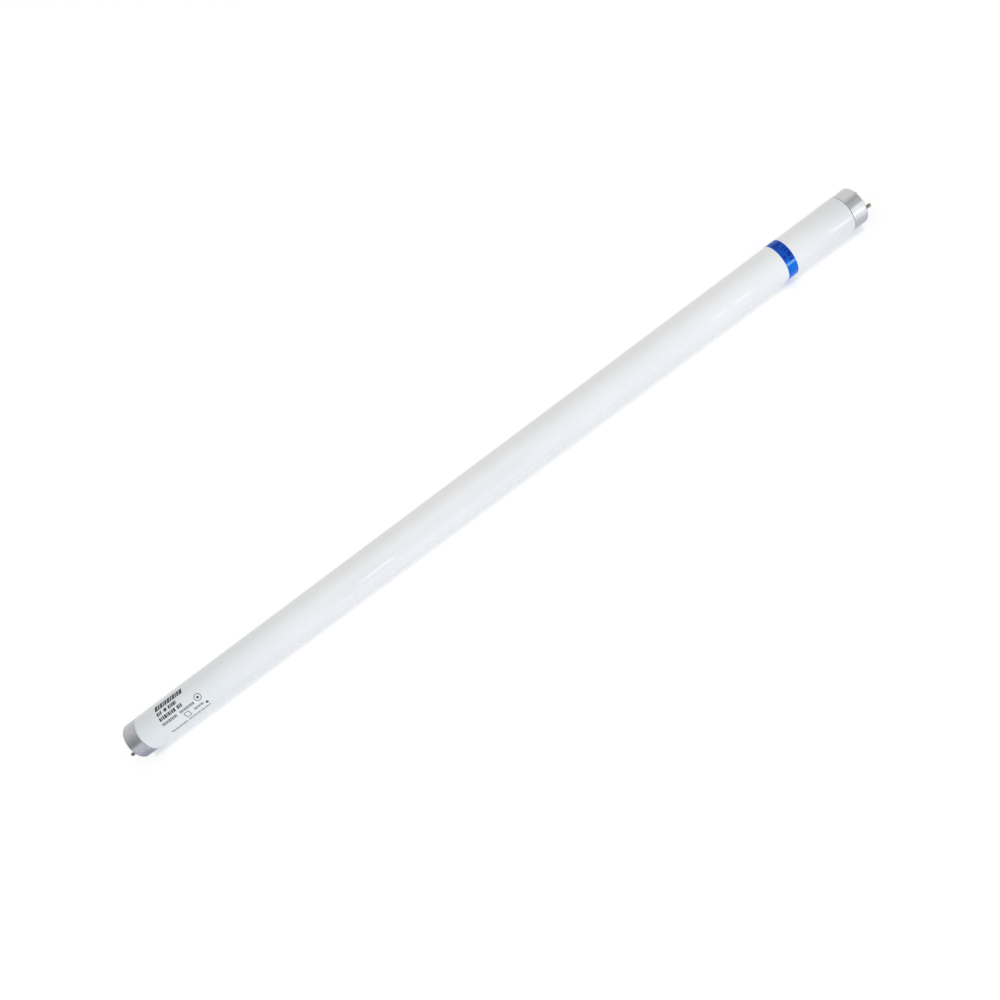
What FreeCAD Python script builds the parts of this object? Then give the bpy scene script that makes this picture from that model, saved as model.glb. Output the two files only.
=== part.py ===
import FreeCAD, Part
import math
import os

from FreeCAD import Vector

# Straight fluorescent tube with a two-pin cap at each end, in millimetres.
# The lamp lies along X with its centre at the origin, and the pins of each cap are spread along Y.
# Depths are measured along X from the face of the nearest cap towards the middle of the lamp.

# Tube
lamp_length = 589.8
tube_diameter = 26.0
glass_wall = 0.55

# Cap shell, drawn from thin sheet and a little narrower than the tube
cap_step = 0.25
cap_depth = 9.9
cap_sheet = 0.35
cap_corner_radius = 0.9
cap_flange_width = 2.0
cap_lip_radius = 0.12

# Pin plate, an insulating disc with a low boss in the opening of the shell
plate_thickness = 1.8
plate_edge_clearance = 0.15
boss_clearance = 0.1

# Contact pins, each with a collar in front of the plate, a narrower shank through it and a riveted head
pin_diameter = 2.35
pin_spacing = 12.7
pin_reach = 7.1
pin_tip_radius = 0.8
shank_diameter = 1.9
collar_diameter = 3.0
collar_thickness = 0.25
rivet_diameter = 3.8
rivet_thickness = 0.5
rivet_edge_radius = 0.25

# Lead wires, gripped in the backs of the pins and bent inwards to the seal of the glass
wire_diameter = 0.5
wire_grip_length = 1.8
wire_bend_radius = 1.6
wire_bend_setback = 1.7
wire_slope_deg = 45.0

# Basing cement between the shell and the neck of the glass
cement_thickness = 0.5
cement_length = 3.7
cement_to_mouth = 0.9

# Ends of the glass: neck, rounded rim, and a stem fused in as a funnel
neck_inset = 0.22
shoulder_length = 0.7
shoulder_radius = 0.9
rim_gap = 1.5
rim_thickness = 1.2
flare_length = 5.0
flare_radius = 2.5
stem_bore_diameter = 8.4
stem_wall = 0.9
stem_length = 5.0
seal_length = 6.0
seal_edge_radius = 0.7
exhaust_diameter = 4.0
exhaust_length = 8.0
exhaust_tip_radius = 1.4
inside_corner_radius = 0.4

# Marker ring, a thin film round the glass near the right end
band_from_cap_face = 54.3
band_width = 7.1
band_thickness = 0.06

# Radii that follow from the sizes above
tube_radius = tube_diameter / 2
cap_radius = tube_radius - cap_step
cap_inner_radius = cap_radius - cap_sheet
cap_inner_corner = cap_corner_radius - cap_sheet
cap_opening_radius = cap_radius - cap_flange_width
neck_radius = cap_inner_radius - cement_thickness
stem_bore_radius = stem_bore_diameter / 2
exhaust_radius = exhaust_diameter / 2
pin_radius = pin_diameter / 2
shank_radius = shank_diameter / 2
wire_radius = wire_diameter / 2

# Depths that follow from the sizes above
plate_back = cap_sheet + plate_thickness
rivet_back = plate_back + rivet_thickness
grip_end = rivet_back - wire_grip_length
rim_depth = rivet_back + rim_gap
flare_end = rim_depth + flare_length
seal_face = flare_end + stem_length
seal_back = seal_face + seal_length
exhaust_tip = seal_face - exhaust_length
shoulder_start = cap_depth - neck_inset
shoulder_end = shoulder_start + shoulder_length
cement_end = cap_depth - cement_to_mouth

# Ends of the lamp, and the place across it of the front and rear pin of each end
left = -1
right = 1
sides = {"left": left, "right": right}
rows = {"front": -pin_spacing / 2, "rear": pin_spacing / 2}


def depth_to_x(side, depth):
    """X of a point that lies this deep behind the face of the left or right cap."""
    return side * (lamp_length / 2 - depth)


def rounded_corner(before, corner, after, radius):
    """Start, middle and end of the arc that rounds a corner between two straight runs."""
    to_before = (before - corner).normalize()
    to_after = (after - corner).normalize()
    half_angle = to_before.getAngle(to_after) / 2
    tangent_length = radius / math.tan(half_angle)
    sagitta = radius / math.sin(half_angle) - radius
    middle = corner + (to_before + to_after).normalize() * sagitta
    return corner + to_before * tangent_length, middle, corner + to_after * tangent_length


def rounded_run(corners, closed):
    """Wire of lines and tangent arcs through corners given as (point, rounding radius)."""
    points = [point for point, radius in corners]
    count = len(points)
    stops = []
    for index, (point, radius) in enumerate(corners):
        if radius > 0:
            stops.append(rounded_corner(points[index - 1], point, points[(index + 1) % count], radius))
        else:
            stops.append((point,))
    edges = []
    for index, stop in enumerate(stops):
        if len(stop) > 1:
            edges.append(Part.Arc(*stop).toShape())
        if closed or index < count - 1:
            following = stops[(index + 1) % count]
            edges.append(Part.LineSegment(stop[-1], following[0]).toShape())
    return Part.Wire(edges)


def turned(side, outline):
    """Solid of revolution about the lamp's axis, from an outline of (depth, radius, rounding)."""
    corners = [
        (Vector(depth_to_x(side, depth), 0, radius), rounding)
        for depth, radius, rounding in outline
    ]
    face = Part.Face(rounded_run(corners, closed=True))
    return face.revolve(Vector(0, 0, 0), Vector(1, 0, 0), 360)


def glass_air_side():
    """Outline of one glass end seen from the air, from the exhaust tip to the full tube."""
    return [
        (exhaust_tip, 0, 0),
        (exhaust_tip, exhaust_radius, exhaust_tip_radius),
        (seal_face, exhaust_radius, inside_corner_radius),
        (seal_face, stem_bore_radius, inside_corner_radius),
        (flare_end, stem_bore_radius, flare_radius),
        (rim_depth, neck_radius - rim_thickness, rim_thickness / 2),
        (rim_depth, neck_radius, rim_thickness / 2),
        (shoulder_start, neck_radius, shoulder_radius),
        (shoulder_end, tube_radius, shoulder_radius),
    ]


def glass_gas_side():
    """Outline of one glass end seen from inside, from the back of the seal to the full tube."""
    stem_radius = stem_bore_radius + stem_wall
    shoulder_slope = math.atan2(tube_radius - neck_radius, shoulder_length)
    wall_shift = glass_wall * math.tan(shoulder_slope / 2)
    return [
        (seal_back, 0, 0),
        (seal_back, stem_radius, seal_edge_radius),
        (flare_end + stem_wall, stem_radius, flare_radius),
        (rim_depth + rim_thickness, neck_radius - glass_wall, inside_corner_radius),
        (shoulder_start + wall_shift, neck_radius - glass_wall, shoulder_radius),
        (shoulder_end + wall_shift, tube_radius - glass_wall, shoulder_radius),
    ]


def cut_away(body, tool):
    """One solid with another taken out of it."""
    return body.cut(tool).Solids[0]


def turned_both_ends(end_outline):
    """Solid of revolution with the same outline at both ends of the lamp."""
    far_end = [(lamp_length - depth, radius, rounding) for depth, radius, rounding in end_outline]
    return turned(right, end_outline + far_end[::-1])


def make_sealed_glass_tube():
    """The drawn tube with both stems fused in, closed all round, with its hollow."""
    return cut_away(turned_both_ends(glass_air_side()), turned_both_ends(glass_gas_side()))


def make_marker_band():
    """Thin coloured ring that lies on the glass near the right end."""
    band_end = band_from_cap_face + band_width
    return turned(right, [
        (band_from_cap_face, tube_radius, 0),
        (band_from_cap_face, tube_radius + band_thickness, 0),
        (band_end, tube_radius + band_thickness, 0),
        (band_end, tube_radius, 0),
    ])


def make_cap_shell(side):
    """Drawn metal cup, open towards the glass, with a round opening in its end."""
    return turned(side, [
        (cap_depth, cap_inner_radius, cap_lip_radius),
        (cap_depth, cap_radius, cap_lip_radius),
        (0, cap_radius, cap_corner_radius),
        (0, cap_opening_radius, cap_lip_radius),
        (cap_sheet, cap_opening_radius, cap_lip_radius),
        (cap_sheet, cap_inner_radius, cap_inner_corner),
    ])


def make_basing_cement(side):
    """Ring of cement that holds the shell on the neck of the glass."""
    cement_start = cement_end - cement_length
    return turned(side, [
        (cement_start, neck_radius, 0),
        (cement_start, cap_inner_radius, 0),
        (cement_end, cap_inner_radius, 0),
        (cement_end, neck_radius, 0),
    ])


def make_pin_plate(side):
    """Insulating disc behind the end of the shell, with its boss and the two pin holes."""
    boss_radius = cap_opening_radius - boss_clearance
    plate = turned(side, [
        (plate_back, 0, 0),
        (plate_back, cap_inner_radius, 0),
        (cap_sheet, cap_inner_radius, cap_inner_corner + plate_edge_clearance),
        (cap_sheet, boss_radius, 0),
        (collar_thickness, boss_radius, 0),
        (collar_thickness, 0, 0),
    ])
    hole = turned(side, [(0, 0, 0), (0, shank_radius, 0), (plate_back, shank_radius, 0), (plate_back, 0, 0)])
    for row in rows.values():
        plate = cut_away(plate, hole.translated(Vector(0, row, 0)))
    return plate


def make_pin(side, row):
    """Contact pin: rounded tip, collar, shank through the plate, and riveted head with a wire hole."""
    body = turned(side, [
        (-pin_reach, 0, 0),
        (-pin_reach, pin_radius, pin_tip_radius),
        (0, pin_radius, 0),
        (0, collar_diameter / 2, 0),
        (collar_thickness, collar_diameter / 2, 0),
        (collar_thickness, shank_radius, 0),
        (plate_back, shank_radius, 0),
        (plate_back, rivet_diameter / 2, 0),
        (rivet_back, rivet_diameter / 2, rivet_edge_radius),
        (rivet_back, 0, 0),
    ])
    wire_hole = turned(side, [
        (grip_end, 0, 0),
        (grip_end, wire_radius, 0),
        (rivet_back, wire_radius, 0),
        (rivet_back, 0, 0),
    ])
    return cut_away(body, wire_hole).translated(Vector(0, row, 0))


def make_lead_wire(side, row):
    """Round wire from the grip in a pin, bent towards the axis, to the face of the glass seal."""
    seal_row = math.copysign((exhaust_radius + stem_bore_radius) / 2, row)
    slope_start = rivet_back + wire_bend_setback
    slope_end = slope_start + abs(row - seal_row) / math.tan(math.radians(wire_slope_deg))
    route = [
        (grip_end, row, 0),
        (slope_start, row, wire_bend_radius),
        (slope_end, seal_row, wire_bend_radius),
        (seal_face, seal_row, 0),
    ]
    corners = [(Vector(depth_to_x(side, depth), y, 0), radius) for depth, y, radius in route]
    start = corners[0][0]
    section = Part.Wire(Part.makeCircle(wire_radius, start, Vector(side, 0, 0)))
    return rounded_run(corners, closed=False).makePipeShell([section], True, True)


solids = {
    "sealed_glass_tube": make_sealed_glass_tube(),
    "marker_band": make_marker_band(),
}
for side_name, side in sides.items():
    solids[f"{side_name}_cap_shell"] = make_cap_shell(side)
    solids[f"{side_name}_pin_plate"] = make_pin_plate(side)
    solids[f"{side_name}_basing_cement"] = make_basing_cement(side)
    for row_name, row in rows.items():
        solids[f"{side_name}_{row_name}_pin"] = make_pin(side, row)
        solids[f"{side_name}_{row_name}_lead_wire"] = make_lead_wire(side, row)

os.makedirs("parts", exist_ok=True)
for name, solid in solids.items():
    solid.exportStep(f"parts/{name}.step")
    print(f"{name}: {solid.Volume:.3f} mm3, {solid.ShapeType}, valid {solid.isValid()}")
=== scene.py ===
import math

import bpy
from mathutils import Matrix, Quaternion, Vector


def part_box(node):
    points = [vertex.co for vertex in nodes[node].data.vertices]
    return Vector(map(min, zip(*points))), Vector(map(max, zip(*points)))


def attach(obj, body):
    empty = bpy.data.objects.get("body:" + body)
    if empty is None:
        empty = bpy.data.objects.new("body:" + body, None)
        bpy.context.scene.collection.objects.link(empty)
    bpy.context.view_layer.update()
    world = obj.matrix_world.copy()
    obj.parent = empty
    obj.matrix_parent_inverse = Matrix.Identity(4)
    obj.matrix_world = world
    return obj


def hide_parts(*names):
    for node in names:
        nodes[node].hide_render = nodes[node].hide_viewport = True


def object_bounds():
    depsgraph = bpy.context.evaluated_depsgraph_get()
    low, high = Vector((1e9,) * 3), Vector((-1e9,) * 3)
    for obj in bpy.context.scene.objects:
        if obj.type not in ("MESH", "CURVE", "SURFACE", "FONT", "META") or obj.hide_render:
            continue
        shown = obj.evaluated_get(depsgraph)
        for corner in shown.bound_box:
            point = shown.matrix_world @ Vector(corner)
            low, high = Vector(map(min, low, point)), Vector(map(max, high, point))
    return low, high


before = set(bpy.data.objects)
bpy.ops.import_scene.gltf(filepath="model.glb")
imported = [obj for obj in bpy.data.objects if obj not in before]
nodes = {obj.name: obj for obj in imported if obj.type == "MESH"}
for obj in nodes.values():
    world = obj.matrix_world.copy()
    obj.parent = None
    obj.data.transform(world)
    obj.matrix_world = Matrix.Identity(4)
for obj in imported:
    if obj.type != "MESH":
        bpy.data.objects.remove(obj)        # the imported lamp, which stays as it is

# The lamp lies along X with its middle at the origin, in metres. Depths run in from the face of a cap.
mm = 0.001
mergeGap = 0.001 * mm        # vertices closer than this become one
pickReach = 0.01 * mm        # how near to a place a vertex is picked
cadLow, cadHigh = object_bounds()
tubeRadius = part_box("sealed_glass_tube")[1].z
ringLow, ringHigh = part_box("marker_band")
capLow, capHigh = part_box("right_cap_shell")
capFace = capHigh.x
capDepth = capHigh.x - capLow.x
print("frame loaded,", len(nodes), "solids, tube radius", round(tubeRadius / mm, 2), "mm")


# Helpers for modelling

def editMode(piece):
    bpy.context.view_layer.objects.active = piece
    bpy.ops.object.mode_set(mode="EDIT")
    bpy.ops.mesh.select_mode(type="VERT")


def objectMode():
    bpy.ops.object.mode_set(mode="OBJECT")


def selectAt(piece, places):
    objectMode()
    for edge in piece.data.edges:
        edge.select = False
    for vertex in piece.data.vertices:
        vertex.select = any((vertex.co - Vector(place)).length < pickReach for place in places)
    editMode(piece)


def drawOutline(name, points):
    # a plane merged to one vertex, which is then pulled along the outline
    bpy.ops.object.select_all(action="DESELECT")
    bpy.ops.mesh.primitive_plane_add(size=mm)
    piece = bpy.context.object
    piece.name = name
    piece.data.name = name
    editMode(piece)
    bpy.ops.mesh.select_all(action="SELECT")
    bpy.ops.mesh.merge(type="CENTER")
    bpy.ops.transform.translate(value=points[0])
    for before, after in zip(points, points[1:]):
        step = Vector(after) - Vector(before)
        bpy.ops.mesh.extrude_region_move(TRANSFORM_OT_translate={"value": step})
    return piece


def roundCorners(piece, places, width, segments):
    selectAt(piece, places)
    bpy.ops.mesh.bevel(offset_type="OFFSET", offset=width, segments=segments, affect="VERTICES")


def spinRound(piece, steps, smoothAngle):
    bpy.ops.mesh.select_all(action="SELECT")
    bpy.ops.mesh.spin(steps=steps, angle=2 * math.pi, center=(0, 0, 0), axis=(1, 0, 0))
    bpy.ops.mesh.select_all(action="SELECT")
    bpy.ops.mesh.remove_doubles(threshold=mergeGap)
    bpy.ops.mesh.normals_make_consistent(inside=False)
    objectMode()
    bpy.ops.object.shade_smooth_by_angle(angle=math.radians(smoothAngle))


# Glass tube, turned from the outline that the air touches
glassTube = {
    "steps": 192,
    "runRings": 22,          # rings along the straight run
    "holdRing": 0.9,         # first of them, this far past the shoulder, in mm
    "cornerSegments": 6,
    "smoothAngle": 40,
    # one end from its sealed tip to the neck: depth, radius, width of the rounding, in mm
    "stem": [
        (6.15, 0.0, 0.0),
        (6.15, 2.0, 1.4),
        (14.15, 2.0, 0.4),
        (14.15, 4.2, 0.4),
        (9.15, 4.2, 1.2),
        (4.15, 10.7, 0.2),
        (4.15, 11.9, 0.6),
    ],
    "neckRadius": 11.9,
    "neckInset": 0.22,       # the shoulder starts this far inside the cap
    "shoulderLength": 0.7,
    "shoulderRounding": 0.3,
}


def makeGlassTube(settings):
    neckEnd = capDepth / mm - settings["neckInset"]
    rounding = settings["shoulderRounding"]
    shoulder = [
        (neckEnd, settings["neckRadius"], rounding),
        (neckEnd + settings["shoulderLength"], tubeRadius / mm, rounding),
    ]
    outline = settings["stem"] + shoulder
    rightEnd = [(capFace - depth * mm, 0, radius * mm) for depth, radius, width in outline]
    leftEnd = [(-x, y, z) for x, y, z in rightEnd]
    runStart = rightEnd[-1][0] - settings["holdRing"] * mm
    ringGap = 2 * runStart / (settings["runRings"] - 1)
    run = [(runStart - ring * ringGap, 0, tubeRadius) for ring in range(settings["runRings"])]
    tube = drawOutline("glass_tube", rightEnd + run + leftEnd[::-1])
    for right, left, (depth, radius, width) in zip(rightEnd, leftEnd, outline):
        if width:
            roundCorners(tube, [right, left], width * mm, settings["cornerSegments"])
    spinRound(tube, settings["steps"], settings["smoothAngle"])
    return tube


glass = makeGlassTube(glassTube)
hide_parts("sealed_glass_tube")
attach(glass, "root")
print("glass tube:", len(glass.data.polygons), "faces")


# Marker ring, a thin film round the glass with soft edges
markerRing = {
    "steps": 192,
    "sunk": 0.03 * mm,        # its underside lies this far into the glass
    "edgeWidth": 0.035 * mm,
    "cornerSegments": 3,
    "smoothAngle": 50,
}


def makeMarkerRing(settings):
    inner = tubeRadius - settings["sunk"]
    outer = ringHigh.z
    corners = [
        (ringLow.x, 0, inner),
        (ringLow.x, 0, outer),
        (ringHigh.x, 0, outer),
        (ringHigh.x, 0, inner),
        (ringLow.x, 0, inner),
    ]
    ring = drawOutline("marker_ring", corners)
    bpy.ops.mesh.select_all(action="SELECT")
    bpy.ops.mesh.remove_doubles(threshold=mergeGap)        # closes the outline
    roundCorners(ring, corners[1:3], settings["edgeWidth"], settings["cornerSegments"])
    spinRound(ring, settings["steps"], settings["smoothAngle"])
    return ring


marker = makeMarkerRing(markerRing)
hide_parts("marker_band")
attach(marker, "root")
print("marker ring:", len(marker.data.polygons), "faces")


# Printed marks: flat shapes that get the thickness of ink and are laid round the tube
inkLayer = {
    "sunk": 0.01 * mm,           # underside, below the surface that carries it
    "height": 0.022 * mm,        # top, above that surface
    "arcStep": 0.6 * mm,         # longest flat across the curve
    "rounding": 0.12 * mm,       # corners of bars
    "roundingSegments": 3,
    "ringCorners": 48,
    "dotCorners": 20,
    "frameCuts": 4,
}


def makeBar(along, across):
    bpy.ops.object.select_all(action="DESELECT")
    parts = max(2, math.ceil(across / inkLayer["arcStep"]))
    bpy.ops.mesh.primitive_grid_add(x_subdivisions=2, y_subdivisions=parts, size=1.0)
    bar = bpy.context.object
    editMode(bar)
    bpy.ops.mesh.select_all(action="SELECT")
    bpy.ops.transform.resize(value=(along, across, 1))
    corners = [(x, y, 0) for x in (-along / 2, along / 2) for y in (-across / 2, across / 2)]
    roundCorners(bar, corners, inkLayer["rounding"], inkLayer["roundingSegments"])
    return bar


def makeRing(radius, line, corners, turn=0.0):
    # a filled circle, inset by the width of the line and opened in the middle
    bpy.ops.object.select_all(action="DESELECT")
    bpy.ops.mesh.primitive_circle_add(vertices=corners, radius=radius, fill_type="NGON")
    ring = bpy.context.object
    editMode(ring)
    bpy.ops.mesh.select_all(action="SELECT")
    bpy.ops.transform.rotate(value=turn, orient_axis="Z", center_override=(0, 0, 0))
    bpy.ops.mesh.inset(thickness=line, depth=0)
    bpy.ops.mesh.delete(type="ONLY_FACE")
    return ring


def makeDot(radius):
    bpy.ops.object.select_all(action="DESELECT")
    bpy.ops.mesh.primitive_circle_add(vertices=inkLayer["dotCorners"], radius=radius, fill_type="NGON")
    dot = bpy.context.object
    editMode(dot)
    bpy.ops.mesh.select_all(action="SELECT")
    bpy.ops.mesh.poke()
    return dot


def makeFrame(side, line):
    frameMark = makeRing(side / math.sqrt(2), line, corners=4, turn=math.radians(45))
    bpy.ops.mesh.select_all(action="SELECT")
    bpy.ops.mesh.subdivide(number_cuts=inkLayer["frameCuts"])
    return frameMark


def layMark(mark, radius, along, degrees):
    # degrees run from the top of the lamp towards its front
    editMode(mark)
    bpy.ops.mesh.select_all(action="SELECT")
    bpy.ops.mesh.normals_make_consistent(inside=False)
    lift = inkLayer["sunk"] + inkLayer["height"]
    bpy.ops.mesh.extrude_region_move(TRANSFORM_OT_translate={"value": (0, 0, lift)})
    bpy.ops.mesh.select_all(action="SELECT")
    bpy.ops.mesh.normals_make_consistent(inside=False)
    objectMode()
    for vertex in mark.data.vertices:
        angle = math.radians(degrees) - vertex.co.y / radius
        reach = radius - inkLayer["sunk"] + vertex.co.z
        vertex.co = (along + vertex.co.x, -reach * math.sin(angle), reach * math.cos(angle))
    return mark


def joinMarks(name, marks):
    bpy.ops.object.select_all(action="DESELECT")
    for mark in marks:
        mark.select_set(True)
    bpy.context.view_layer.objects.active = marks[0]
    bpy.ops.object.join()
    joined = bpy.context.object
    joined.name = name
    joined.data.name = name
    return joined


# Stamp near the left end: rows of plain ticks with a ring, a frame and dots, and no words
stamp = {
    "left": -267.0 * mm,         # where its rows begin along the lamp
    "boldTicks": [2.2, 1.2, 1.9, 1.0, 1.5],
    "mediumTicks": [1.2, 0.7, 1.0, 1.5, 0.6],
    "thinTicks": [0.55, 0.8, 0.45, 0.7],
    "fineTicks": [0.5, 0.75, 0.4],
    # rows of ticks: degrees, height, start, stop, tick widths, gap, in mm
    "rows": [
        (-17.5, 4.0, 0.1, 24.0, "boldTicks", 0.45),
        (3, 2.5, 0.4, 4.8, "mediumTicks", 0.4),
        (3, 2.5, 9.7, 17.5, "mediumTicks", 0.35),
        (20, 2.6, 0.4, 13.4, "mediumTicks", 0.45),
        (20, 2.6, 15.0, 19.4, "mediumTicks", 0.4),
        (37, 2.0, 0.1, 12.9, "thinTicks", 0.5),
        (37, 1.9, 14.6, 26.4, "thinTicks", 0.55),
        (55, 1.6, 23.2, 30.6, "thinTicks", 0.5),
        (74, 1.5, 0.4, 13.6, "fineTicks", 0.5),
        (74, 1.5, 15.0, 33.4, "fineTicks", 0.6),
    ],
    # round marks: degrees, place along, outer radius, width of the line
    "rings": [(31, 30.4, 2.6, 0.42)],
    "dots": [(3, 7.2, 1.25), (31, 30.4, 0.9), (60, 32.7, 1.0)],
    # square frames: degrees, place along, side, width of the line
    "frames": [(55, 17.6, 4.0, 0.4)],
}


def tickPlaces(start, stop, widths, gap):
    # middle and width of each tick that fits between start and stop
    places = []
    reach = start
    count = 0
    while reach + widths[count % len(widths)] <= stop:
        width = widths[count % len(widths)]
        places.append((reach + width / 2, width))
        reach += width + gap
        count += 1
    return places


def makeStamp(settings):
    marks = []
    for degrees, height, start, stop, ticks, gap in settings["rows"]:
        for middle, width in tickPlaces(start, stop, settings[ticks], gap):
            bar = makeBar(width * mm, height * mm)
            marks.append(layMark(bar, tubeRadius, settings["left"] + middle * mm, degrees))
    for degrees, along, radius, line in settings["rings"]:
        ring = makeRing(radius * mm, line * mm, inkLayer["ringCorners"])
        marks.append(layMark(ring, tubeRadius, settings["left"] + along * mm, degrees))
    for degrees, along, radius in settings["dots"]:
        dot = makeDot(radius * mm)
        marks.append(layMark(dot, tubeRadius, settings["left"] + along * mm, degrees))
    for degrees, along, side, line in settings["frames"]:
        box = makeFrame(side * mm, line * mm)
        marks.append(layMark(box, tubeRadius, settings["left"] + along * mm, degrees))
    return joinMarks("ink_stamp", marks)


inkStamp = makeStamp(stamp)
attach(inkStamp, "root")
print("ink stamp:", len(inkStamp.data.polygons), "faces")


# Print on the marker ring: dark bars, most of them on its outer half
ringPrint = {
    # from and to in degrees, then as shares of the ring's width
    "bars": [
        (-22, -12, 0.14, 0.86),
        (-9, -5, 0.14, 0.50),
        (0, 4, 0.44, 0.90),
        (9, 14, 0.52, 0.90),
        (20, 33, 0.56, 0.90),
        (23, 31, 0.12, 0.34),
        (39, 44, 0.50, 0.88),
    ],
}


def makeRingPrint(settings):
    width = ringHigh.x - ringLow.x
    marks = []
    for start, stop, inner, outer in settings["bars"]:
        bar = makeBar((outer - inner) * width, math.radians(stop - start) * ringHigh.z)
        along = ringLow.x + (inner + outer) / 2 * width
        marks.append(layMark(bar, ringHigh.z, along, (start + stop) / 2))
    return joinMarks("ring_print", marks)


barPrint = makeRingPrint(ringPrint)
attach(barPrint, "root")
print("ring print:", len(barPrint.data.polygons), "faces")


# Helpers for shaders, and the effects that several finishes share

def addNode(tree, kind, x, y, **values):
    node = tree.nodes.new(kind)
    node.location = (x, y)
    for label, value in values.items():
        setattr(node, label, value)
    return node


def emptyTree(owner, outputKind, x):
    # the owner's node tree, with only the output left in it
    owner.use_nodes = True
    tree = owner.node_tree
    tree.nodes.clear()
    return tree, addNode(tree, outputKind, x, 0)


def newGroup(name, inputs, outputs):
    group = bpy.data.node_groups.new(name, "ShaderNodeTree")
    for label, kind, value in inputs:
        socket = group.interface.new_socket(label, in_out="INPUT", socket_type=kind)
        if value is not None:
            socket.default_value = value
    for label, kind in outputs:
        group.interface.new_socket(label, in_out="OUTPUT", socket_type=kind)
    start = addNode(group, "NodeGroupInput", -700, 0)
    end = addNode(group, "NodeGroupOutput", 500, 0)
    return group, start, end


def makePatchGroup():
    # soft patches, as in an uneven coat or light handling marks
    group, start, end = newGroup(
        "softPatches",
        [
            ("Vector", "NodeSocketVector", None),
            ("Per Metre", "NodeSocketFloat", 40.0),
            ("Detail", "NodeSocketFloat", 3.0),
            ("Low", "NodeSocketFloat", 0.35),
            ("High", "NodeSocketFloat", 0.65),
        ],
        [("Mask", "NodeSocketFloat")],
    )
    noise = addNode(group, "ShaderNodeTexNoise", -420, 0)
    spread = addNode(group, "ShaderNodeMapRange", -120, 0, interpolation_type="SMOOTHSTEP")
    link = group.links.new
    link(start.outputs["Vector"], noise.inputs["Vector"])
    link(start.outputs["Per Metre"], noise.inputs["Scale"])
    link(start.outputs["Detail"], noise.inputs["Detail"])
    link(noise.outputs["Fac"], spread.inputs["Value"])
    link(start.outputs["Low"], spread.inputs["From Min"])
    link(start.outputs["High"], spread.inputs["From Max"])
    link(spread.outputs["Result"], end.inputs["Mask"])
    return group


def makeLineGroup():
    # fine lines along the lamp, as drawing through a die leaves them
    group, start, end = newGroup(
        "drawnLines",
        [
            ("Vector", "NodeSocketVector", None),
            ("Along", "NodeSocketFloat", 30.0),
            ("Across", "NodeSocketFloat", 1500.0),
            ("Detail", "NodeSocketFloat", 3.0),
        ],
        [("Lines", "NodeSocketFloat")],
    )
    stretch = addNode(group, "ShaderNodeCombineXYZ", -500, -160)
    scaled = addNode(group, "ShaderNodeVectorMath", -300, 0, operation="MULTIPLY")
    noise = addNode(group, "ShaderNodeTexNoise", -80, 0)
    noise.inputs["Scale"].default_value = 1.0
    link = group.links.new
    link(start.outputs["Along"], stretch.inputs["X"])
    link(start.outputs["Across"], stretch.inputs["Y"])
    link(start.outputs["Across"], stretch.inputs["Z"])
    link(start.outputs["Vector"], scaled.inputs[0])
    link(stretch.outputs["Vector"], scaled.inputs[1])
    link(scaled.outputs["Vector"], noise.inputs["Vector"])
    link(start.outputs["Detail"], noise.inputs["Detail"])
    link(noise.outputs["Fac"], end.inputs["Lines"])
    return group


softPatches = makePatchGroup()
drawnLines = makeLineGroup()


def newFinish(name):
    finish = bpy.data.materials.new(name)
    tree, output = emptyTree(finish, "ShaderNodeOutputMaterial", 700)
    shader = addNode(tree, "ShaderNodeBsdfPrincipled", 400, 0)
    place = addNode(tree, "ShaderNodeTexCoord", -1100, 0)
    tree.links.new(shader.outputs["BSDF"], output.inputs["Surface"])
    return finish, tree, shader, place.outputs["Object"]


def placeGroup(tree, group, x, y, vector, **values):
    node = addNode(tree, "ShaderNodeGroup", x, y, node_tree=group)
    tree.links.new(vector, node.inputs["Vector"])
    for label, value in values.items():
        node.inputs[label.replace("_", " ")].default_value = value
    return node.outputs[0]


def mixColours(tree, x, y, mask, first, second):
    mix = addNode(tree, "ShaderNodeMix", x, y, data_type="RGBA")
    tree.links.new(mask, mix.inputs["Factor"])
    for index, colour in ((6, first), (7, second)):        # the two colour sockets
        if isinstance(colour, tuple):
            mix.inputs[index].default_value = (*colour, 1.0)
        else:
            tree.links.new(colour, mix.inputs[index])
    return mix.outputs[2]


def spreadValue(tree, x, y, mask, low, high):
    spread = addNode(tree, "ShaderNodeMapRange", x, y)
    tree.links.new(mask, spread.inputs["Value"])
    spread.inputs["To Min"].default_value = low
    spread.inputs["To Max"].default_value = high
    return spread.outputs["Result"]


def rampUp(tree, x, y, value, start, stop):
    # 0 before start, 1 after stop, soft between
    ramp = addNode(tree, "ShaderNodeMapRange", x, y, interpolation_type="SMOOTHSTEP")
    tree.links.new(value, ramp.inputs["Value"])
    ramp.inputs["From Min"].default_value = start
    ramp.inputs["From Max"].default_value = stop
    return ramp.outputs["Result"]


def combine(tree, x, y, operation, first, second):
    join = addNode(tree, "ShaderNodeMath", x, y, operation=operation)
    tree.links.new(first, join.inputs[0])
    tree.links.new(second, join.inputs[1])
    return join.outputs[0]


def angleRound(tree, x, y, vector):
    # radians round the lamp, from its top towards its front
    split = addNode(tree, "ShaderNodeSeparateXYZ", x, y)
    front = addNode(tree, "ShaderNodeMath", x + 180, y, operation="MULTIPLY")
    front.inputs[1].default_value = -1.0
    tree.links.new(vector, split.inputs["Vector"])
    tree.links.new(split.outputs["Y"], front.inputs[0])
    return combine(tree, x + 360, y, "ARCTAN2", front.outputs[0], split.outputs["Z"])


def addBump(tree, shader, x, y, height, distance):
    bump = addNode(tree, "ShaderNodeBump", x, y)
    bump.inputs["Distance"].default_value = distance
    tree.links.new(height, bump.inputs["Height"])
    tree.links.new(bump.outputs["Normal"], shader.inputs["Normal"])


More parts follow.
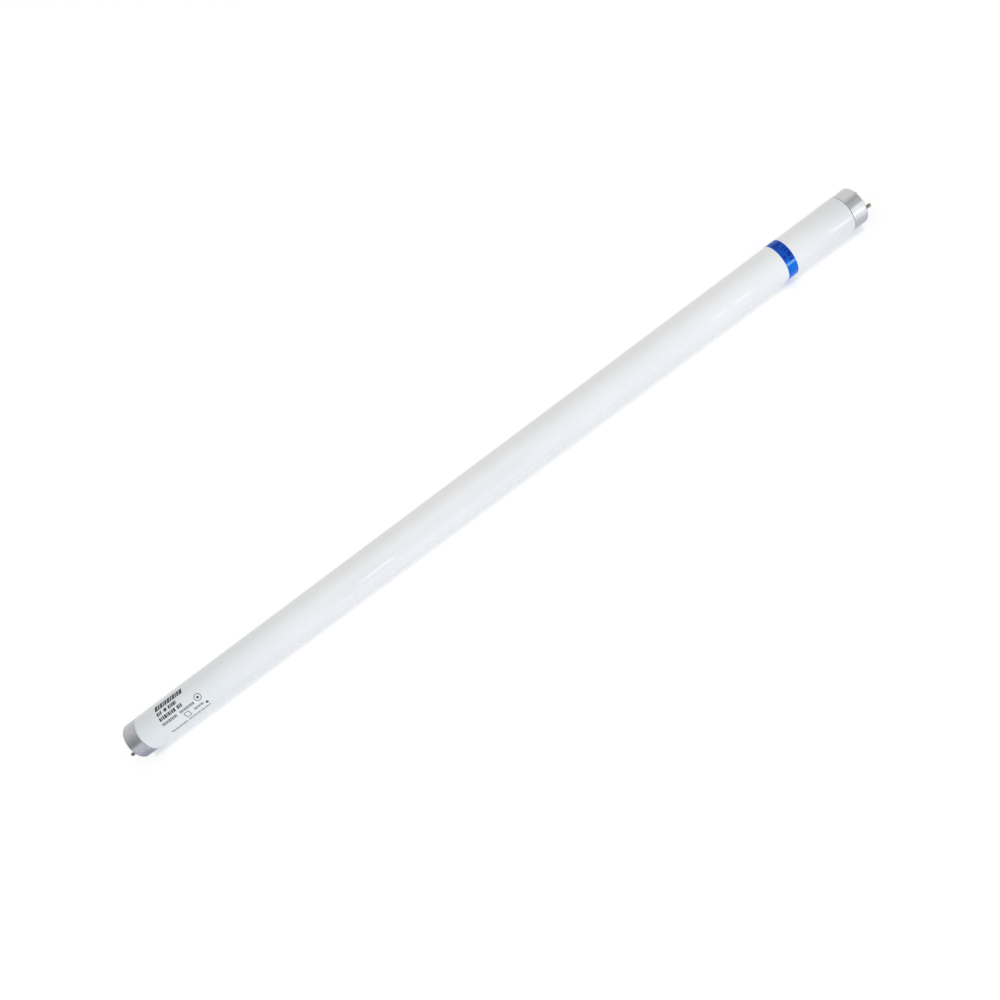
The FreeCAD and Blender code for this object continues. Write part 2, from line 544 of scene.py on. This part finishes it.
# White of the tube: gloss over a matt coating, with painted shade towards the caps, where the ends get
# less light; at the left end that painted shade is also tinted bluish
whiteGlass = {
    "white": (0.900, 0.902, 0.904),
    "shade": (0.880, 0.884, 0.888),
    "rightEndPaintedShade": (0.790, 0.798, 0.806),
    "rightEnd": (0.235, 0.298),        # where the painted shade of that end starts, and where it is full
    "leftEndPaintedShade": (0.782, 0.816, 0.830),
    "leftEnd": (-0.11, -0.30),
    "patchesPerMetre": 26.0,
    "gloss": (0.03, 0.09),
    "smearsPerMetre": 60.0,
    "smearRange": (0.45, 0.75),        # of the noise, from none to full
    "waveAlong": 14.0,
    "waveAcross": 160.0,
    "waveDetail": 0.0,
    "waveHeight": 0.06 * mm,
}


def makeWhiteGlass(settings):
    finish, tree, shader, vector = newFinish("white_glass")
    coat = placeGroup(tree, softPatches, -800, 200, vector, Per_Metre=settings["patchesPerMetre"])
    colour = mixColours(tree, -300, 200, coat, settings["white"], settings["shade"])
    split = addNode(tree, "ShaderNodeSeparateXYZ", -800, 500)
    tree.links.new(vector, split.inputs["Vector"])
    # masks along X for the painted shade at both ends of the tube
    rightEnd = rampUp(tree, -600, 600, split.outputs["X"], *settings["rightEnd"])
    leftEnd = rampUp(tree, -600, 400, split.outputs["X"], *settings["leftEnd"])
    colour = mixColours(tree, -100, 300, rightEnd, colour, settings["rightEndPaintedShade"])
    colour = mixColours(tree, 100, 300, leftEnd, colour, settings["leftEndPaintedShade"])
    tree.links.new(colour, shader.inputs["Base Color"])
    smearLow, smearHigh = settings["smearRange"]
    smears = placeGroup(
        tree, softPatches, -800, -100, vector,
        Per_Metre=settings["smearsPerMetre"], Low=smearLow, High=smearHigh,
    )
    tree.links.new(spreadValue(tree, -300, -100, smears, *settings["gloss"]), shader.inputs["Roughness"])
    waves = placeGroup(
        tree, drawnLines, -800, -400, vector,
        Along=settings["waveAlong"], Across=settings["waveAcross"], Detail=settings["waveDetail"],
    )
    addBump(tree, shader, -100, -400, waves, settings["waveHeight"])
    return finish


# Blue of the ring: a deeper field on its upper half, partly darker print and partly painted shade on the
# side turned from the front light, which ends in a pale stripe, a painted highlight where the strip lamps
# mirror in the film
blueFilm = {
    "blue": (0.003, 0.172, 0.75),
    "deepBlueAndShade": (0.003, 0.084, 0.52),
    "paintedHighlight": (0.14, 0.38, 0.92),
    "fieldEdge": (42.0, 37.0),         # degrees, from plain blue to the full deep field of print and painted shade
    "paintedHighlightRise": (45.5, 47.5),
    "paintedHighlightFall": (55.0, 53.0),
    "patchesPerMetre": 140.0,
    "patchDepth": 0.25,
    "gloss": (0.14, 0.26),
    "specular": 0.12,
}


def makeBlueFilm(settings):
    finish, tree, shader, vector = newFinish("blue_film")
    shader.inputs["Specular IOR Level"].default_value = settings["specular"]
    angle = angleRound(tree, -900, 600, vector)
    rises = [
        rampUp(tree, -350, 700 - 200 * row, angle, *[math.radians(degrees) for degrees in settings[label]])
        for row, label in enumerate(("fieldEdge", "paintedHighlightRise", "paintedHighlightFall"))
    ]
    patches = placeGroup(tree, softPatches, -800, 0, vector, Per_Metre=settings["patchesPerMetre"])
    unevenness = spreadValue(tree, -350, 0, patches, 0.0, settings["patchDepth"])
    # deep field of print and painted shade on the upper half, with uneven patches of the film
    depth = combine(tree, -150, 300, "MAXIMUM", rises[0], unevenness)
    colour = mixColours(tree, 0, 300, depth, settings["blue"], settings["deepBlueAndShade"])
    # pale stripe: a painted highlight where the strip lamps mirror
    paintedHighlight = combine(tree, -150, 500, "MULTIPLY", rises[1], rises[2])
    colour = mixColours(tree, 200, 300, paintedHighlight, colour, settings["paintedHighlight"])
    tree.links.new(colour, shader.inputs["Base Color"])
    tree.links.new(spreadValue(tree, -350, -200, patches, *settings["gloss"]), shader.inputs["Roughness"])
    return finish


# Inks of the stamp and of the bars on the ring
stampInk = {
    "name": "stamp_ink",
    "ink": (0.032, 0.037, 0.038),
    "thinInk": (0.13, 0.145, 0.145),
    "specksPerMetre": 900.0,
    "speckRange": (0.5, 0.72),
    "gloss": (0.35, 0.5),
    "specular": 0.5,
}

barInk = {
    "name": "bar_ink",
    "ink": (0.002, 0.030, 0.27),
    "thinInk": (0.002, 0.042, 0.35),
    "specksPerMetre": 700.0,
    "speckRange": (0.5, 0.72),
    "gloss": (0.2, 0.32),
    "specular": 0.12,
}


def makeInk(settings):
    finish, tree, shader, vector = newFinish(settings["name"])
    shader.inputs["Specular IOR Level"].default_value = settings["specular"]
    speckLow, speckHigh = settings["speckRange"]
    specks = placeGroup(
        tree, softPatches, -800, 200, vector,
        Per_Metre=settings["specksPerMetre"], Low=speckLow, High=speckHigh,
    )
    colour = mixColours(tree, -300, 200, specks, settings["ink"], settings["thinInk"])
    tree.links.new(colour, shader.inputs["Base Color"])
    tree.links.new(spreadValue(tree, -300, -100, specks, *settings["gloss"]), shader.inputs["Roughness"])
    return finish


# Aluminium of the cap shells
drawnAluminium = {
    "metal": (0.60, 0.605, 0.615),
    "dullMetal": (0.56, 0.565, 0.575),
    "linesAlong": 40.0,
    "linesAcross": 2200.0,
    "patchesPerMetre": 170.0,
    "gloss": (0.17, 0.25),
    "lineDepth": 0.004 * mm,
}


def makeDrawnAluminium(settings):
    finish, tree, shader, vector = newFinish("drawn_aluminium")
    shader.inputs["Metallic"].default_value = 1.0
    lines = placeGroup(
        tree, drawnLines, -800, -300, vector,
        Along=settings["linesAlong"], Across=settings["linesAcross"],
    )
    patches = placeGroup(tree, softPatches, -800, 200, vector, Per_Metre=settings["patchesPerMetre"])
    colour = mixColours(tree, -300, 200, patches, settings["metal"], settings["dullMetal"])
    tree.links.new(colour, shader.inputs["Base Color"])
    tree.links.new(spreadValue(tree, -300, -100, lines, *settings["gloss"]), shader.inputs["Roughness"])
    addBump(tree, shader, -100, -400, lines, settings["lineDepth"])
    return finish


# Brass of the pins, dull from storage
dullBrass = {
    "brass": (0.34, 0.31, 0.215),
    "tarnish": (0.12, 0.112, 0.085),
    "patchesPerMetre": 700.0,
    "patchRange": (0.4, 0.7),
    "linesAlong": 200.0,
    "linesAcross": 4000.0,
    "gloss": (0.2, 0.36),
    "lineDepth": 0.004 * mm,
}


def makeDullBrass(settings):
    finish, tree, shader, vector = newFinish("dull_brass")
    shader.inputs["Metallic"].default_value = 1.0
    patchLow, patchHigh = settings["patchRange"]
    patches = placeGroup(
        tree, softPatches, -800, 200, vector,
        Per_Metre=settings["patchesPerMetre"], Low=patchLow, High=patchHigh,
    )
    colour = mixColours(tree, -300, 200, patches, settings["brass"], settings["tarnish"])
    tree.links.new(colour, shader.inputs["Base Color"])
    lines = placeGroup(
        tree, drawnLines, -800, -300, vector,
        Along=settings["linesAlong"], Across=settings["linesAcross"],
    )
    tree.links.new(spreadValue(tree, -300, -100, lines, *settings["gloss"]), shader.inputs["Roughness"])
    addBump(tree, shader, -100, -400, lines, settings["lineDepth"])
    return finish


# Pressed resin board of the pin plates
resinBoard = {
    "board": (0.245, 0.120, 0.060),
    "darkBoard": (0.195, 0.092, 0.045),
    "patchesPerMetre": 800.0,
    "patchDetail": 5.0,
    "specksPerMetre": 2600.0,
    "gloss": (0.42, 0.6),
    "grainDepth": 0.02 * mm,
}


def makeResinBoard(settings):
    finish, tree, shader, vector = newFinish("resin_board")
    patches = placeGroup(
        tree, softPatches, -800, 200, vector,
        Per_Metre=settings["patchesPerMetre"], Detail=settings["patchDetail"],
    )
    colour = mixColours(tree, -300, 200, patches, settings["board"], settings["darkBoard"])
    tree.links.new(colour, shader.inputs["Base Color"])
    specks = placeGroup(tree, softPatches, -800, -300, vector, Per_Metre=settings["specksPerMetre"])
    tree.links.new(spreadValue(tree, -300, -100, specks, *settings["gloss"]), shader.inputs["Roughness"])
    addBump(tree, shader, -100, -400, specks, settings["grainDepth"])
    return finish


# Cement between the caps and the glass
bakedCement = {
    "cement": (0.50, 0.39, 0.26),
    "darkCement": (0.36, 0.27, 0.17),
    "patchesPerMetre": 900.0,
    "patchDetail": 5.0,
    "gloss": (0.7, 0.9),
    "grainDepth": 0.04 * mm,
}


def makeBakedCement(settings):
    finish, tree, shader, vector = newFinish("baked_cement")
    patches = placeGroup(
        tree, softPatches, -800, 200, vector,
        Per_Metre=settings["patchesPerMetre"], Detail=settings["patchDetail"],
    )
    colour = mixColours(tree, -300, 200, patches, settings["cement"], settings["darkCement"])
    tree.links.new(colour, shader.inputs["Base Color"])
    tree.links.new(spreadValue(tree, -300, -100, patches, *settings["gloss"]), shader.inputs["Roughness"])
    addBump(tree, shader, -100, -400, patches, settings["grainDepth"])
    return finish


# Lead wires inside the caps
bareWire = {
    "wire": (0.60, 0.58, 0.55),
    "darkWire": (0.40, 0.38, 0.36),
    "linesAlong": 300.0,
    "linesAcross": 6000.0,
    "gloss": (0.25, 0.4),
}


def makeBareWire(settings):
    finish, tree, shader, vector = newFinish("bare_wire")
    shader.inputs["Metallic"].default_value = 1.0
    lines = placeGroup(
        tree, drawnLines, -800, -300, vector,
        Along=settings["linesAlong"], Across=settings["linesAcross"],
    )
    colour = mixColours(tree, -300, 200, lines, settings["wire"], settings["darkWire"])
    tree.links.new(colour, shader.inputs["Base Color"])
    tree.links.new(spreadValue(tree, -300, -100, lines, *settings["gloss"]), shader.inputs["Roughness"])
    return finish


def dress(piece, finish):
    piece.data.materials.clear()
    piece.data.materials.append(finish)


dress(glass, makeWhiteGlass(whiteGlass))
dress(marker, makeBlueFilm(blueFilm))
dress(inkStamp, makeInk(stampInk))
dress(barPrint, makeInk(barInk))
solidFinishes = {
    "cap_shell": makeDrawnAluminium(drawnAluminium),
    "pin_plate": makeResinBoard(resinBoard),
    "basing_cement": makeBakedCement(bakedCement),
    "lead_wire": makeBareWire(bareWire),
    "pin": makeDullBrass(dullBrass),
}
for nodeName, node in nodes.items():
    for ending, finish in solidFinishes.items():
        if nodeName.endswith(ending):
            dress(node, finish)
print("finishes:", len(bpy.data.materials))


# Floor and white surroundings
studio = {
    "floorSize": 20.0,
    "floorBounce": (0.86, 0.86, 0.86),       # what the floor gives back to the lamp
    "floorShade": (0.76, 0.76, 0.76),        # the part of its look that takes shadow
    "floorGlow": 0.385,                      # the rest of its white
    "fill": (0.58, 0.58, 0.58),              # light from all round
    "white": (1.0, 1.0, 1.0),                # what the camera, metal and glass see all round
}


def seenDirectly(tree, x, y):
    # 1 where the camera, metal or glass looks at it
    rays = addNode(tree, "ShaderNodeLightPath", x, y).outputs
    either = combine(tree, x + 200, y, "MAXIMUM", rays["Is Camera Ray"], rays["Is Glossy Ray"])
    return combine(tree, x + 400, y, "MAXIMUM", either, rays["Is Transmission Ray"])


def makeFloor(settings):
    bpy.ops.object.select_all(action="DESELECT")
    bpy.ops.mesh.primitive_plane_add(size=settings["floorSize"])
    floor = bpy.context.object
    floor.name = "floor"
    editMode(floor)
    bpy.ops.mesh.select_all(action="SELECT")
    bpy.ops.transform.translate(value=(0, 0, cadLow.z))
    objectMode()
    paper = bpy.data.materials.new("floor_white")
    tree, output = emptyTree(paper, "ShaderNodeOutputMaterial", 600)
    choose = addNode(tree, "ShaderNodeMixShader", 400, 0)
    bounce = addNode(tree, "ShaderNodeBsdfDiffuse", 0, 100)
    bounce.inputs["Color"].default_value = (*settings["floorBounce"], 1)
    shade = addNode(tree, "ShaderNodeBsdfDiffuse", 0, -100)
    shade.inputs["Color"].default_value = (*settings["floorShade"], 1)
    glow = addNode(tree, "ShaderNodeEmission", 0, -300)
    glow.inputs["Strength"].default_value = settings["floorGlow"]
    seen = addNode(tree, "ShaderNodeAddShader", 200, -200)
    tree.links.new(shade.outputs[0], seen.inputs[0])
    tree.links.new(glow.outputs[0], seen.inputs[1])
    tree.links.new(seenDirectly(tree, -500, 300), choose.inputs["Fac"])
    tree.links.new(bounce.outputs[0], choose.inputs[1])
    tree.links.new(seen.outputs[0], choose.inputs[2])
    tree.links.new(choose.outputs[0], output.inputs["Surface"])
    dress(floor, paper)


def makeSurroundings(settings):
    world = bpy.data.worlds.new("studio")
    bpy.context.scene.world = world
    tree, output = emptyTree(world, "ShaderNodeOutputWorld", 600)
    choose = addNode(tree, "ShaderNodeMixShader", 400, 0)
    fill = addNode(tree, "ShaderNodeBackground", 100, 100)
    fill.inputs["Color"].default_value = (*settings["fill"], 1)
    white = addNode(tree, "ShaderNodeBackground", 100, -100)
    white.inputs["Color"].default_value = (*settings["white"], 1)
    tree.links.new(seenDirectly(tree, -500, 300), choose.inputs["Fac"])
    tree.links.new(fill.outputs[0], choose.inputs[1])
    tree.links.new(white.outputs[0], choose.inputs[2])
    tree.links.new(choose.outputs[0], output.inputs["Surface"])


makeFloor(studio)
makeSurroundings(studio)


# Lights: strips that show in the gloss, then a soft one in front and one above that don't
strips = {
    "distance": 1.0,
    "tall": 0.30,
    "colour": (0.94, 0.975, 1.0),
    # from and to along X, elevation, and brightness of the face, where 1 is white
    "spans": {
        "short_strip": (-0.352, -0.272, 23.5, 2.5),
        "first_right_strip": (0.461, 0.497, 24.0, 1.9),
        "second_right_strip": (0.510, 0.556, 24.0, 1.9),
        "end_strip": (0.728, 0.774, 18.5, 2.9),
    },
}

softLight = {
    "middle": 0.10,
    "distance": 1.6,
    "elevation": 9.0,
    "size": (2.8, 0.5),
    "level": 2.1,
    "colour": (0.75, 0.84, 1.0),
}

topLight = {
    "level": 0.22,
    "spread": 12.0,              # degrees across
    "lean": 5.0,                 # degrees towards the front
}


def hangLight(name, middle, distance, elevation, size, level, colour):
    # an area light that faces the lamp's axis from the front
    tilt = math.radians(elevation)
    lamp = bpy.data.lights.new(name, "AREA")
    lamp.shape = "RECTANGLE"
    lamp.size, lamp.size_y = size
    lamp.energy = level * math.pi * size[0] * size[1]
    lamp.color = colour
    light = bpy.data.objects.new(name, lamp)
    bpy.context.scene.collection.objects.link(light)
    light.location = (middle, -distance * math.cos(tilt), distance * math.sin(tilt))
    towards = Vector((0, math.cos(tilt), -math.sin(tilt)))
    light.rotation_euler = towards.to_track_quat("-Z", "Y").to_euler()
    return light


def makeLights():
    for name, (start, stop, elevation, level) in strips["spans"].items():
        middle = (start + stop) / 2
        size = (stop - start, strips["tall"])
        hangLight(name, middle, strips["distance"], elevation, size, level, strips["colour"])
    soft = hangLight("soft_light", **softLight)
    soft.visible_glossy = False
    soft.data.use_shadow = False
    top = bpy.data.lights.new("top_light", "SUN")
    top.energy = topLight["level"] * math.pi
    top.angle = math.radians(topLight["spread"])
    above = bpy.data.objects.new("top_light", top)
    bpy.context.scene.collection.objects.link(above)
    above.rotation_euler.x = math.radians(topLight["lean"])
    above.visible_glossy = False


# Screens round the ends and the middle, which only metal and glass mirror
screens = {
    "reach": 1.2,
    "parts": 36,
    "fade": 0.10,                # from white to the screen's own tones, at both its ends
    # tones by degrees from straight up towards the front
    "right_screen": {
        "span": (0.76, 2.0),
        "tones": [
            (-88, (0.97, 0.97, 0.97)),
            (-46, (0.97, 0.97, 0.97)),
            (-24, (0.84, 0.84, 0.84)),
            (-13, (0.44, 0.44, 0.44)),
            (-3, (0.46, 0.46, 0.46)),
            (4, (0.62, 0.62, 0.62)),
            (27, (0.60, 0.60, 0.60)),
            (39, (1.56, 1.56, 1.56)),
            (50, (1.50, 1.51, 1.52)),
            (76, (1.36, 1.37, 1.39)),
            (92, (1.36, 1.38, 1.42)),
        ],
    },
    "left_screen": {
        "span": (-0.86, -2.2),
        "tones": [
            (-88, (0.80, 0.80, 0.80)),
            (-50, (0.71, 0.71, 0.71)),
            (-20, (0.57, 0.57, 0.57)),
            (0, (0.42, 0.43, 0.43)),
            (20, (0.24, 0.26, 0.27)),
            (47, (0.18, 0.20, 0.22)),
            (56, (0.64, 0.69, 0.78)),
            (68, (0.72, 0.77, 0.86)),
            (92, (0.63, 0.66, 0.77)),
        ],
    },
    "middle_screen": {
        "span": (0.10, -0.54),
        "tones": [
            (20, (1.0, 1.0, 1.0)),
            (42, (0.12, 0.12, 0.12)),
            (86, (0.12, 0.12, 0.12)),
            (110, (1.0, 1.0, 1.0)),
        ],
    },
}

# Sheets on the floor at both ends, which only metal and glass mirror: painted reflections of the floor,
# with painted shade near the lamp, brighter than white far out on the right, and darker all over on the
# left
floorSheets = {
    "lift": 0.05 * mm,           # above the floor
    "reach": 0.9,                # to the front and to the back
    "turn": (-0.01, 0.05),       # across the lamp, from the front's tones to the one behind
    # the inner edge leans away by the slant, so that the caps mirror a sheet and the glass doesn't,
    # and the front's tones change with the distance from the lamp's axis
    "right_sheet": {
        "span": (0.2817, 0.9),
        "slant": 0.48,
        "fade": (0.10, 0.015),
        "far": (1.28, 1.30, 1.34),
        "near": (0.74, 0.78, 0.86),
        "behind": (0.98, 0.98, 0.98),
    },
    "left_sheet": {
        "span": (-0.2817, -0.9),
        "slant": 0.57,
        "fade": (0.065, 0.012),
        "far": (0.61, 0.63, 0.73),
        "near": (0.44, 0.47, 0.55),
        "behind": (0.82, 0.82, 0.82),
    },
}


def newScreen(name, columns):
    bpy.ops.object.select_all(action="DESELECT")
    bpy.ops.mesh.primitive_grid_add(x_subdivisions=2, y_subdivisions=columns, size=1.0)
    screen = bpy.context.object
    screen.name = name
    glowing = bpy.data.materials.new(name)
    tree, output = emptyTree(glowing, "ShaderNodeOutputMaterial", 600)
    face = addNode(tree, "ShaderNodeEmission", 400, 0)
    tree.links.new(face.outputs[0], output.inputs["Surface"])
    place = addNode(tree, "ShaderNodeTexCoord", -900, 0)
    dress(screen, glowing)
    for ray in ("camera", "diffuse", "transmission", "shadow"):
        setattr(screen, "visible_" + ray, False)
    return screen, tree, face, place.outputs["Object"]


def alongAxis(tree, vector, axis):
    split = addNode(tree, "ShaderNodeSeparateXYZ", -700, -300)
    tree.links.new(vector, split.inputs["Vector"])
    return split.outputs[axis]


def makeScreen(name, settings, shared):
    screen, tree, face, vector = newScreen(name, shared["parts"])
    start, stop = settings["span"]
    first, last = settings["tones"][0][0], settings["tones"][-1][0]
    for vertex in screen.data.vertices:
        turn = math.radians(first + (vertex.co.y + 0.5) * (last - first))
        x = start + (vertex.co.x + 0.5) * (stop - start)
        vertex.co = (x, -shared["reach"] * math.sin(turn), shared["reach"] * math.cos(turn))
    angle = angleRound(tree, -900, 300, vector)
    share = addNode(tree, "ShaderNodeMapRange", -300, 300)
    share.inputs["From Min"].default_value = math.radians(first)
    share.inputs["From Max"].default_value = math.radians(last)
    tree.links.new(angle, share.inputs["Value"])
    tones = addNode(tree, "ShaderNodeValToRGB", -100, 300)
    steps = tones.color_ramp.elements
    for inner in settings["tones"][1:-1]:
        steps.new((inner[0] - first) / (last - first))
    for step, (degrees, tone) in zip(steps, settings["tones"]):
        step.color = (*tone, 1.0)
    tree.links.new(share.outputs["Result"], tones.inputs["Fac"])
    along = alongAxis(tree, vector, "X")
    fade = math.copysign(shared["fade"], stop - start)
    fadeIn = rampUp(tree, -400, -200, along, start, start + fade)
    fadeOut = rampUp(tree, -400, -400, along, stop, stop - fade)
    own = combine(tree, -200, -300, "MULTIPLY", fadeIn, fadeOut)
    colour = mixColours(tree, 200, 0, own, studio["white"], tones.outputs["Color"])
    tree.links.new(colour, face.inputs["Color"])


def makeFloorSheet(name, settings, shared):
    sheet, tree, face, vector = newScreen(name, 2)
    start, stop = settings["span"]
    for vertex in sheet.data.vertices:
        y = 2 * vertex.co.y * shared["reach"]
        edge = start + math.copysign(settings["slant"] * abs(y), start)
        x = edge + (vertex.co.x + 0.5) * (stop - edge)
        vertex.co = (x, y, cadLow.z + shared["lift"])
    across = alongAxis(tree, vector, "Y")
    away = addNode(tree, "ShaderNodeMath", -500, -100, operation="ABSOLUTE")
    tree.links.new(across, away.inputs[0])
    # the front's tones darken near the lamp: painted shade of the floor as the caps mirror it
    close = rampUp(tree, -300, -100, away.outputs[0], *settings["fade"])
    front = mixColours(tree, 0, 0, close, settings["far"], settings["near"])
    behind = rampUp(tree, -300, -400, across, *shared["turn"])
    colour = mixColours(tree, 200, 0, behind, front, settings["behind"])
    tree.links.new(colour, face.inputs["Color"])


makeLights()
for screenName in ("right_screen", "left_screen", "middle_screen"):
    makeScreen(screenName, screens[screenName], screens)
for sheetName in ("right_sheet", "left_sheet"):
    makeFloorSheet(sheetName, floorSheets[sheetName], floorSheets)
print("studio ready")


# Camera, from above in front, rolled so that the lamp rises to the right
camera = {
    "eye": (0.0261, -0.24506, 0.47134),
    "aim": (0.00023, -0.01773, 0.0),
    "roll": -42.5,
    "lens": 29.055,
    "sensor": 36.0,
    "nearest": 0.01,
}


def makeCamera(settings):
    data = bpy.data.cameras.new("camera")
    data.lens = settings["lens"]
    data.sensor_width = settings["sensor"]
    data.clip_start = settings["nearest"]
    eye = bpy.data.objects.new("camera", data)
    bpy.context.scene.collection.objects.link(eye)
    ahead = Vector(settings["aim"]) - Vector(settings["eye"])
    level = ahead.to_track_quat("-Z", "Y")
    eye.location = settings["eye"]
    eye.rotation_mode = "QUATERNION"
    eye.rotation_quaternion = level @ Quaternion((0, 0, 1), math.radians(settings["roll"]))
    bpy.context.scene.camera = eye


makeCamera(camera)
bpy.context.scene.view_settings.view_transform = "Standard"
